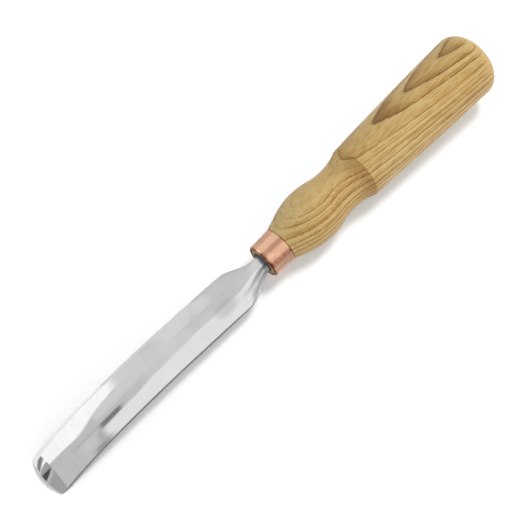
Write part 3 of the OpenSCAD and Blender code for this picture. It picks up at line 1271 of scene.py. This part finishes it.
@dataclass(frozen=True)
class Handle:
    """Turned handle: tenon, bulb, cove, grip and flat butt, with the tang's hole."""

    length: float = 150.0
    face_at: float = 0.2
    tenon_radius: float = 7.7
    tenon_chamfer: float = 0.4
    shoulder_at: float = 12.4
    shoulder_radius: float = 9.25
    bulb_radius: float = 14.05
    bulb_at: float = 33.0
    cove_floor: float = 11.85
    cove_at: float = 50.7
    cove_radius: float = 33.0
    crease_at: float = 63.3
    grip_radius: float = 17.4
    grip_swell: float = 0.25
    butt_round: float = 6.6
    bore_radius: float = 5.4
    bore_depth: float = 66.0
    drill_angle: float = 118.0
    around: int = 160
    slope_steps: int = 12
    arc_steps: int = 40
    grip_steps: int = 60
    round_steps: int = 18
    crease: float = 15.0

    def outline(self) -> list[Pair]:
        """Draw the handle's closed outline, from the hole's point round to the butt.

        Returns:
            Points as (distance from the ferrule's front, radius).
        """
        drop, way = self.bulb_radius - self.cove_floor, self.cove_at - self.bulb_at
        curve = (way**2 + drop**2) / (2 * drop) - self.cove_radius
        bulb = (self.bulb_at, self.bulb_radius - curve)
        cove = (self.cove_at, self.cove_floor + self.cove_radius)
        join = math.degrees(math.atan2(cove[1] - bulb[1], way))
        reach = (self.shoulder_at - bulb[0], self.shoulder_radius - bulb[1])
        taper = math.atan2(reach[1], reach[0]) - math.acos(curve / math.hypot(*reach))
        rounded = arc(bulb, curve, math.degrees(taper), join, self.arc_steps)
        crease = 270 + math.degrees(math.asin((self.crease_at - self.cove_at) / self.cove_radius))
        crease_radius = cove[1] + self.cove_radius * math.sin(math.radians(crease))
        grip_end = self.length - self.butt_round
        drill = self.bore_radius / math.tan(math.radians(self.drill_angle / 2))
        low, high = np.array(((self.shoulder_at, self.shoulder_radius), rounded[0]))
        slope = [tuple(mix(low, high, k / self.slope_steps)) for k in range(self.slope_steps)]
        grip = []
        for k in range(1, self.grip_steps):
            part = k / self.grip_steps
            swell = 4 * self.grip_swell * part * (1 - part)
            radius = mix(crease_radius, self.grip_radius, part) + swell
            grip.append((mix(self.crease_at, grip_end, part), radius))
        butt = (grip_end, self.grip_radius - self.butt_round)
        return [
            (self.bore_depth + drill, 0.0),
            (self.bore_depth, self.bore_radius),
            (self.face_at, self.bore_radius),
            (self.face_at, self.tenon_radius - self.tenon_chamfer),
            (self.face_at + self.tenon_chamfer, self.tenon_radius),
            (self.shoulder_at, self.tenon_radius),
            *slope,
            *rounded,
            *arc(cove, self.cove_radius, join + 180, crease, self.arc_steps)[1:],
            *grip,
            *arc(butt, self.butt_round, 90, 0, self.round_steps),
            (self.length, 0.0),
        ]

    def build(self, shop: Workshop) -> bpy.types.Object:
        """Turn the handle."""
        return shop.turned("turned_handle", self.outline(), self.around, self.crease)

    def dress(self, piece: bpy.types.Object, lay: Matrix) -> None:
        """Give the handle its wood, mapped in the tool's frame, and hide its CAD node.

        Args:
            piece: The handle.
            lay: Matrix that lays the tool down.
        """
        piece.data.materials.append(OiledAsh().material(lay))
        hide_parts(Node.HANDLE.value)


@dataclass(frozen=True)
class TangGlue:
    """Cured glue that beds the tang, kept as the CAD node, and its bead round the neck."""

    node: Node = Node.GLUE
    neck_radius: float = 4.45
    neck_crown: float = 2.35
    bore_radius: float = 5.38
    bead_radius: float = 5.55
    bead_front: float = -0.15
    # how full the bead's skin is, and the angle in degrees at which it leaves the neck
    bead_power: float = 0.6
    bead_from: float = 60.0
    face_at: float = 0.18
    glue_at: float = 2.55
    around: int = 96
    bead_steps: int = 10
    crease: float = 30.0

    def build(self, shop: Workshop) -> bpy.types.Object:
        """Turn the bead that was squeezed out round the neck.

        Args:
            shop: Workshop that places the piece.

        Returns:
            The bead.
        """
        swell = self.face_at - self.bead_front
        wide = self.bead_radius - self.neck_radius
        skin = []
        for a in np.radians(np.linspace(self.bead_from, 180, self.bead_steps + 1)):
            ahead = self.face_at - swell * math.sin(a) ** self.bead_power
            skin.append((ahead, self.neck_radius + wide * (1 - math.cos(a)) / 2))
        outline = [
            (self.glue_at, self.neck_radius), (skin[0][0], self.neck_radius), *skin,
            (self.face_at, self.bore_radius), (self.glue_at, self.bore_radius),
        ]
        return shop.turned("glue_bead", outline, self.around, self.crease, self.hug)

    def hug(self, s: float, radius: float, angle: float) -> float:
        """Find how far the bead closes in on the neck's flattened top.

        Args:
            s: Distance from the ferrule's front; not used.
            radius: Distance from the axis.
            angle: Angle from the top.

        Returns:
            Radius to add, in millimetres, negative over the flattened top.
        """
        curve = (self.neck_radius**2 + self.neck_crown**2) / (2 * self.neck_crown)
        centre = self.neck_crown - curve
        up, side = math.cos(angle), math.sin(angle)
        top = self.neck_radius
        if up > 0:
            top = centre * up + math.sqrt(curve**2 - (centre * side) ** 2)
        part = max(0.0, (self.bore_radius - radius) / (self.bore_radius - self.neck_radius))
        return (top - self.neck_radius) * part

    def dress(self, bead: bpy.types.Object, lay: Matrix) -> bpy.types.Object:
        """Give the glue its epoxy.

        Args:
            bead: The squeezed-out bead.
            lay: Matrix that lays the tool down.

        Returns:
            The CAD object.
        """
        made = frame["nodes"][self.node.value]
        finish = DarkEpoxy().material(lay)
        made.data.materials.clear()
        made.data.materials.append(finish)
        bead.data.materials.append(finish)
        return made


@dataclass(frozen=True)
class Panel:
    """One panel of the light tent, seen from the tool.

    Places are on a flat map of the sky with the zenith at 0, the horizon at radius 1, the
    butt's side at positive first values and the tool's left at positive second values.
    """

    level: float
    soft: float = 0.02
    # least and greatest first and second value, None where the panel has no end
    ahead: tuple[float | None, float | None] = (None, None)
    left: tuple[float | None, float | None] = (None, None)
    # slanted edges, with the panel on the left of the way from the first to the second point
    slants: tuple[tuple[Pair, Pair], ...] = ()

    def edges(self) -> list[Triple]:
        """Work out the panel's edges.

        Returns:
            Factors of a place (first, second, 1) that add up to its distance inside each edge.
        """
        found = []
        for across, up, (low, high) in ((1.0, 0.0, self.ahead), (0.0, 1.0, self.left)):
            if low is not None:
                found.append((across, up, -low))
            if high is not None:
                found.append((-across, -up, high))
        for (x0, y0), (x1, y1) in self.slants:
            long = math.hypot(x1 - x0, y1 - y0)
            a, b = (y0 - y1) / long, (x1 - x0) / long
            found.append((a, b, -(a * x0 + b * y0)))
        return found


@dataclass(frozen=True)
class Tent:
    """Light tent of plain panels, which the metal mirrors."""

    # brightness where no panel hangs
    base: float = 0.78
    # even light on what doesn't mirror, and how much it gains towards the tool's right
    fill: float = 0.42
    fill_lean: float = 0.03
    # keeps the map of the sky finite below the floor
    map_least: float = 0.2
    panels: tuple[Panel, ...] = (
        Panel(0.7, slants=(((0.157, 0.0), (0.189, -0.4)),)),
        Panel(0.83, 0.012, (0.115, None), (0.33, None), (((0.168, 0.45), (0.217, 0.95)),)),
        Panel(0.62, 0.1, (-0.15, 0.03), (None, 0.08)),
        Panel(0.66, 0.012, (0.158, 0.2), (None, 0.12)),
        Panel(0.97, slants=(((0.156, -0.036), (-0.007, -0.156)),)),
        Panel(0.7, 0.03, left=(None, -0.25), slants=(((0.26, -0.25), (0.46, -0.56)),)),
        Panel(0.66, 0.008, (None, -0.075)),
        Panel(
            1.22, ahead=(None, 0.003),
            slants=(((-0.144, 0.168), (-0.007, 0.45)), ((-0.324, 0.276), (-0.144, 0.168))),
        ),
        Panel(0.25, 0.01, (-0.073, -0.007), (-0.156, -0.036)),
        Panel(0.43, 0.02, (-0.15, -0.072), (-0.62, -0.45)),
        Panel(0.54, 0.012, (-0.104, -0.076), (-0.48, -0.18)),
        Panel(
            0.73, 0.02, (-0.175, -0.108), (None, -0.075), (((-0.175, -0.38), (-0.108, -0.3)),)
        ),
        Panel(0.57, 0.012, (-0.2, -0.08), (-0.06, -0.02)),
    )

    def hang(self, lay: Matrix) -> None:
        """Hang the tent: the world's light by direction.

        Args:
            lay: Matrix that lays the tool down.
        """
        world = bpy.data.worlds.new("light_tent")
        bpy.context.scene.world = world
        world.use_nodes = True
        world.node_tree.nodes.clear()
        add = partial(add_node, world.node_tree)
        coord = add("TexCoord").outputs["Generated"]
        pitch = lay.to_3x3().inverted().to_euler()
        turned = add("Mapping", Vector=coord, Rotation=tuple(pitch), vector_type="VECTOR")
        way = add("SeparateXYZ", turned).outputs
        depth = add("Math", way["Z"], 1.0, operation="ADD")
        depth = add("Math", depth, self.map_least, operation="MAXIMUM")
        ahead = add("Math", way["X"], depth, operation="DIVIDE")
        left = add("Math", way["Y"], depth, operation="DIVIDE")
        spot = add("CombineXYZ", ahead, left, 1.0)
        light: bpy.types.Node | float = self.base
        for panel in self.panels:
            inside = None
            for edge in panel.edges():
                off = add("VectorMath", spot, edge, operation="DOT_PRODUCT")
                inside = add("Math", inside, off, operation="MINIMUM") if inside else off
            shown = add("MapRange", inside, -panel.soft, panel.soft, 0.0, 1.0, **EASED)
            light = add("Mix", shown, light, panel.level, data_type="FLOAT")
        path = add("LightPath").outputs
        fill = add("Math", way["Y"], -self.fill_lean, self.fill, operation="MULTIPLY_ADD")
        for ray, seen in (("Is Diffuse Ray", fill), ("Is Camera Ray", 1.0)):
            light = add("Mix", path[ray], light, seen, data_type="FLOAT")
        add("OutputWorld", add("Background", Color=linear(WHITE), Strength=light))


@dataclass(frozen=True)
class Card:
    """Plain card that only the metal sees, with its corners on the tent's map of the sky."""

    name: str
    level: float
    corners: tuple[tuple[float, ...], ...]
    # distance in metres from a point near the blade's edge, and that point's place
    away: float = 1.0
    edge_at: float = -130.0

    def spot(self, corner: tuple[float, ...], lay: Matrix) -> Vector:
        """Find where a corner hangs.

        Args:
            corner: First and second value on the map of the sky.
            lay: Matrix that lays the tool down.

        Returns:
            The point in the row frame, in metres.
        """
        x, y = corner
        high = (1 - x * x - y * y) / (1 + x * x + y * y)
        way = Vector((x * (1 + high), y * (1 + high), high))
        return lay @ (Vector((self.edge_at * MM, 0.0, 0.0)) + way * self.away)

    def hang(self, lay: Matrix) -> None:
        """Hang the card.

        Args:
            lay: Matrix that lays the tool down.
        """
        mesh = bpy.data.meshes.new(self.name)
        spots = [self.spot(corner, lay) for corner in self.corners]
        mesh.from_pydata(spots, [], [list(range(len(spots)))])
        made = new_object(self.name, mesh)
        made.visible_camera = made.visible_diffuse = made.visible_shadow = False
        finish, add = new_material(self.name)
        add("OutputMaterial", add("Emission", Color=linear(WHITE), Strength=self.level))
        mesh.materials.append(finish)


@dataclass(frozen=True)
class FloorCard(Card):
    """Card beside the tool, whose corners give places there and heights over the floor."""

    def spot(self, corner: tuple[float, ...], lay: Matrix) -> Vector:
        """Find where a corner stands.

        Args:
            corner: Distance towards the butt, to the left, and height, in millimetres.
            lay: Matrix that lays the tool down.

        Returns:
            The point in the row frame, in metres.
        """
        x, y, high = corner
        found = lay @ (Vector((x, y, 0.0)) * MM)
        found.z = high * MM
        return found


@dataclass(frozen=True)
class Lamp:
    """Round soft lamp that the metal doesn't mirror."""

    name: str
    # direction from the tool, diameter in metres, power, distance in metres
    towards: Triple
    size: float
    watts: float
    away: float = 1.3

    def hang(self) -> None:
        """Hang the lamp in its direction from the tool, facing it."""
        data = bpy.data.lights.new(self.name, "AREA")
        data.shape = "DISK"
        data.size = self.size
        data.energy = self.watts
        made = new_object(self.name, data)
        way = Vector(self.towards).normalized()
        made.location = way * self.away
        made.rotation_euler = way.to_track_quat("Z", "Y").to_euler()
        made.visible_glossy = False


@dataclass(frozen=True)
class PhotoCamera:
    """Camera at the photograph's view, in the tool's frame."""

    # how far the view leans towards the edge and to the right, and turns, in degrees, then
    # the camera's distance from the ferrule, lens and sensor
    tip: float = 12.8
    roll: float = 22.5
    twist: float = 44.14
    distance: float = 417.6
    lens: float = 61.71
    sensor: float = 36.0

    def place(self, lay: Matrix) -> None:
        """Set the camera up.

        Args:
            lay: Matrix that lays the tool down.
        """
        tip, roll, twist = (math.radians(q) for q in (self.tip, self.roll, self.twist))
        sink = math.cos(tip)
        back = Vector((-math.sin(tip), -sink * math.sin(roll), sink * math.cos(roll)))
        along = (Vector((1, 0, 0)) - back * back.x).normalized()
        side = along.cross(back)
        right = along * math.cos(twist) + side * math.sin(twist)
        up = along * math.sin(twist) - side * math.cos(twist)
        turn = Matrix((right, up, back)).transposed().to_4x4()
        data = bpy.data.cameras.new("photo_camera")
        data.lens = self.lens
        data.sensor_width = self.sensor
        made = new_object("photo_camera", data)
        made.matrix_world = lay @ Matrix.Translation(back * self.distance * MM) @ turn
        bpy.context.scene.camera = made


@dataclass(frozen=True)
class Studio:
    """Light tent, cards that only the metal sees, two soft lamps, a white floor and the camera."""

    lay: Matrix
    tent: Tent = Tent()
    cards: tuple[Card, ...] = (
        Card(
            "grey_front_card", 0.45,
            (
                (-0.58, -0.6), (-0.58, 0.3), (-0.72, 0.5), (-0.8, 0.52), (-0.83, 0.55),
                (-0.999, 0.02), (-0.8, -0.59),
            ),
            1.2,
        ),
        Card(
            "black_front_card", 0.09,
            (
                (-0.85, 0.19), (-0.763, 0.212), (-0.72, 0.25), (-0.72, 0.275), (-0.76, 0.335),
                (-0.8, 0.385), (-0.85, 0.42),
            ),
        ),
        Card(
            "pale_front_card", 0.58,
            (
                (-0.85, 0.19), (-0.763, 0.212), (-0.72, 0.25), (-0.7, 0.16), (-0.75, 0.11),
                (-0.85, 0.09),
            ),
        ),
        FloorCard(
            "grey_left_card", 0.82,
            ((-92, 7, 0.3), (-38, 7, 0.3), (160, 900, 0.3), (-92, 900, 0.3)),
        ),
        FloorCard(
            "dark_left_card", 0.66,
            ((-38, 7, 0.3), (60, 7, 0.3), (300, 900, 0.3), (160, 900, 0.3)),
        ),
        # painted shade: a grey card on the floor right of the ferrule, seen only by the metal,
        # stands in for the floor's shadow there
        FloorCard(
            "right_floor_shade_card", 0.62, ((4, -14, 0.3), (4, -80, 31), (75, -80, 31), (75, -14, 0.3))
        ),
        # painted shadow: a dark card on the floor before the tip, seen only by the metal, stands in
        # for the floor's shadow there
        FloorCard(
            "tip_floor_shade_card", 0.3,
            ((-142, 19, 0.3), (-146, 15, 0.3), (-265, 87, 0.3), (-222, 133, 0.3)),
        ),
    )
    # the key hangs high over the butt, and a weaker lamp low on the right
    lamps: tuple[Lamp, ...] = (
        Lamp("key_softbox", (0.5, -0.045, 1.0), 0.4, 8.7),
        Lamp("right_softbox", (0.15, -1.0, 0.38), 0.7, 4.4),
    )
    paper: WhitePaper = WhitePaper()
    # half of the sheet's side in metres, and how far it lies below the tool in millimetres
    floor_half: float = 6.0
    floor_below: float = 0.05
    camera: PhotoCamera = PhotoCamera()

    def floor(self) -> None:
        """Lay the white floor, which keeps the tool's shadow."""
        mesh = bpy.data.meshes.new("studio_floor")
        h = self.floor_half
        mesh.from_pydata([(-h, -h, 0), (h, -h, 0), (h, h, 0), (-h, h, 0)], [], [[0, 1, 2, 3]])
        made = new_object("studio_floor", mesh)
        made.location.z = -self.floor_below * MM
        mesh.materials.append(self.paper.material(self.lay))

    def build(self) -> None:
        """Set up the tent, its cards, the lamps, the floor and the camera."""
        self.tent.hang(self.lay)
        for card in self.cards:
            card.hang(self.lay)
        for lamp in self.lamps:
            lamp.hang()
        self.floor()
        self.camera.place(self.lay)
        bpy.context.scene.view_settings.view_transform = "Standard"


def main() -> None:
    """Build and dress the gouge, then its studio."""
    logging.basicConfig(level=logging.INFO, format="%(name)s: %(message)s")
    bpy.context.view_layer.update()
    lay = Lie().matrix()
    shop = Workshop(lay)
    pieces = []
    for part in (Blade(), Ferrule(), Handle()):
        piece = part.build(shop)
        part.dress(piece, lay)
        pieces.append(piece)
    glue = TangGlue()
    bead = glue.build(shop)
    pieces += [glue.dress(bead, lay), bead]
    for piece in pieces:
        faces, finish = len(piece.data.polygons), piece.data.materials[0].name
        LOG.info("%s: %d faces, %s", piece.name, faces, finish)
    Studio(lay).build()


if __name__ == "__main__":
    main()
